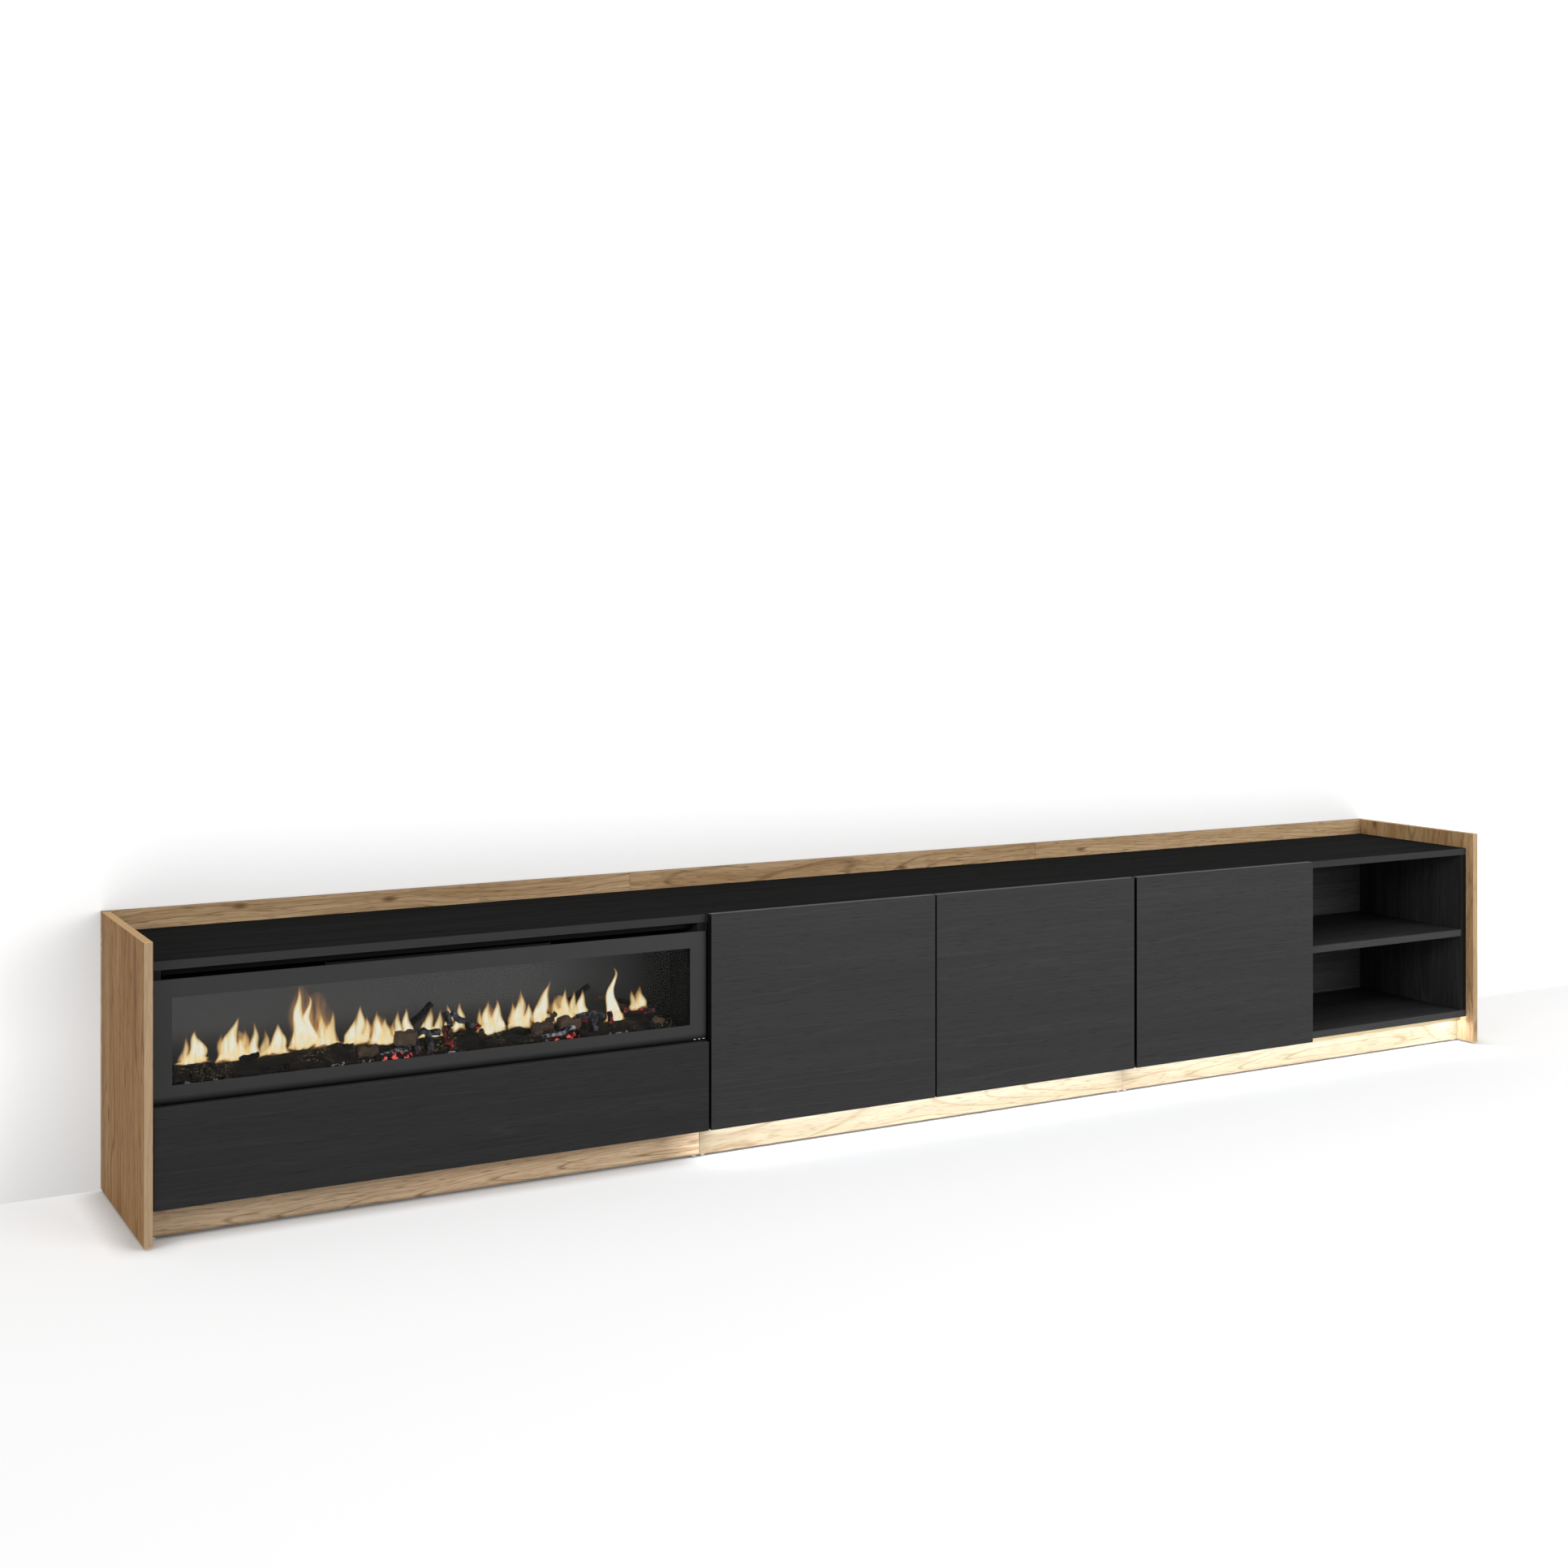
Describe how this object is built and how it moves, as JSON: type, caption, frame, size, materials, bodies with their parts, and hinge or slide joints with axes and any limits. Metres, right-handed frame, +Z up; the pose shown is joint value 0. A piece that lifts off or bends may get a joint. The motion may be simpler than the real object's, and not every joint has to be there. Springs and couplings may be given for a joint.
{
  "type": "low tv stand with electric fireplace",
  "caption": "Long low TV stand in black and oak: an electric fireplace over a drop-down flap, push-to-open doors, an open bay with a shelf, and lit recessed plinths.",
  "frame": {"origin": "middle of the unit's footprint, on the floor", "axes": "+X along the unit's length to the right as seen from the front, +Y from front to back, +Z up"},
  "size_m": [3.105, 0.3802, 0.504],
  "materials": {
    "oak_decor": "matt oak decor with long grain",
    "black_woodgrain": "matt black wood-grain decor",
    "black_fibreboard": "black painted thin fibreboard",
    "dark_chipboard": "plain dark board, out of sight",
    "charcoal_painted_steel": "matt charcoal powder coat",
    "black_painted_steel": "matt black",
    "clear_glass": "clear, smooth",
    "moulded_log_resin": "rough painted logs and embers",
    "smoked_screen": "matt smoked acrylic",
    "anodised_aluminium": "satin anodised",
    "nickelled_steel": "nickel plated",
    "grey_acetal": "smooth moulded"
  },
  "bodies": {
    "cabinet": {"oak_side_left": "oak_decor", "oak_side_right": "oak_decor", "oak_back_1": "oak_decor", "oak_plinth_1": "oak_decor", "m1_top": "black_woodgrain", "m1_bottom": "black_woodgrain", "m1_side_left": "black_woodgrain", "m1_side_right": "black_woodgrain", "m1_back": "black_fibreboard", "m1_cheek_left": "dark_chipboard", "m1_cheek_right": "dark_chipboard", "oak_back_2": "oak_decor", "oak_plinth_2": "oak_decor", "m2_top": "black_woodgrain", "m2_bottom": "black_woodgrain", "m2_side_left": "black_woodgrain", "m2_side_right": "black_woodgrain", "m2_back": "black_fibreboard", "m2_cheek_left": "dark_chipboard", "m2_cheek_right": "dark_chipboard", "oak_back_3": "oak_decor", "oak_plinth_3": "oak_decor", "m3_top": "black_woodgrain", "m3_bottom": "black_woodgrain", "m3_side_left": "black_woodgrain", "m3_side_right": "black_woodgrain", "m3_back": "black_fibreboard", "m3_cheek_left": "dark_chipboard", "m3_cheek_right": "dark_chipboard", "m1_fire_shelf": "black_woodgrain", "m2_divider": "black_woodgrain", "m2_shelf_left": "black_woodgrain", "m2_shelf_right": "black_woodgrain", "m3_divider": "black_woodgrain", "m3_shelf_open": "black_woodgrain", "m3_shelf_door": "black_woodgrain", "fire_front_frame": "charcoal_painted_steel", "fire_glass_pane": "clear_glass", "fire_casing": "black_painted_steel", "fire_flame_screen": "smoked_screen", "fire_log_set": "moulded_log_resin", "fire_heater": "black_painted_steel", "led_channel_2": "anodised_aluminium", "led_channel_3": "anodised_aluminium", "flap_hinge_left": "nickelled_steel", "flap_hinge_right": "nickelled_steel", "door_1_hinge_low": "nickelled_steel", "door_1_hinge_high": "nickelled_steel", "door_2_hinge_low": "nickelled_steel", "door_2_hinge_high": "nickelled_steel", "door_3_hinge_low": "nickelled_steel", "door_3_hinge_high": "nickelled_steel"},
    "door_1": {"door_1": "black_woodgrain"},
    "door_2": {"door_2": "black_woodgrain"},
    "door_3": {"door_3": "black_woodgrain"},
    "flap": {"flap": "black_woodgrain"},
    "door_1_plunger": {"door_1_plunger": "grey_acetal"},
    "door_2_plunger": {"door_2_plunger": "grey_acetal"},
    "door_3_plunger": {"door_3_plunger": "grey_acetal"},
    "flap_plunger": {"flap_plunger": "grey_acetal"}
  },
  "joints": [
    {"name": "door_1_hinge", "type": "hinge", "parent": "cabinet", "child": "door_1", "pos_m": [-0.5092, -0.18565, 0.06], "axis": [0, 0, -1], "range_deg": [0, 90]},
    {"name": "door_2_hinge", "type": "hinge", "parent": "cabinet", "child": "door_2", "pos_m": [0.5092, -0.18565, 0.06], "axis": [0, 0, 1], "range_deg": [0, 90]},
    {"name": "door_3_hinge", "type": "hinge", "parent": "cabinet", "child": "door_3", "pos_m": [0.5158, -0.18565, 0.06], "axis": [0, 0, -1], "range_deg": [0, 90]},
    {"name": "flap_hinge", "type": "hinge", "parent": "cabinet", "child": "flap", "pos_m": [-1.025, -0.18565, 0.06], "axis": [1, 0, 0], "range_deg": [0, 90]},
    {"name": "door_1_latch", "type": "slide", "parent": "cabinet", "child": "door_1_plunger", "axis": [0, -1, 0], "range_m": [0, 0.012]},
    {"name": "door_2_latch", "type": "slide", "parent": "cabinet", "child": "door_2_plunger", "axis": [0, -1, 0], "range_m": [0, 0.012]},
    {"name": "door_3_latch", "type": "slide", "parent": "cabinet", "child": "door_3_plunger", "axis": [0, -1, 0], "range_m": [0, 0.012]},
    {"name": "flap_latch", "type": "slide", "parent": "cabinet", "child": "flap_plunger", "axis": [0, -1, 0], "range_m": [0, 0.012]}
  ],
  "couplings": [
    {"joint": "door_1_latch", "follows": "door_1_hinge", "m_per_rad": 0.0076},
    {"joint": "door_2_latch", "follows": "door_2_hinge", "m_per_rad": 0.0076},
    {"joint": "door_3_latch", "follows": "door_3_hinge", "m_per_rad": 0.0076},
    {"joint": "flap_latch", "follows": "flap_hinge", "m_per_rad": 0.0076}
  ]
}
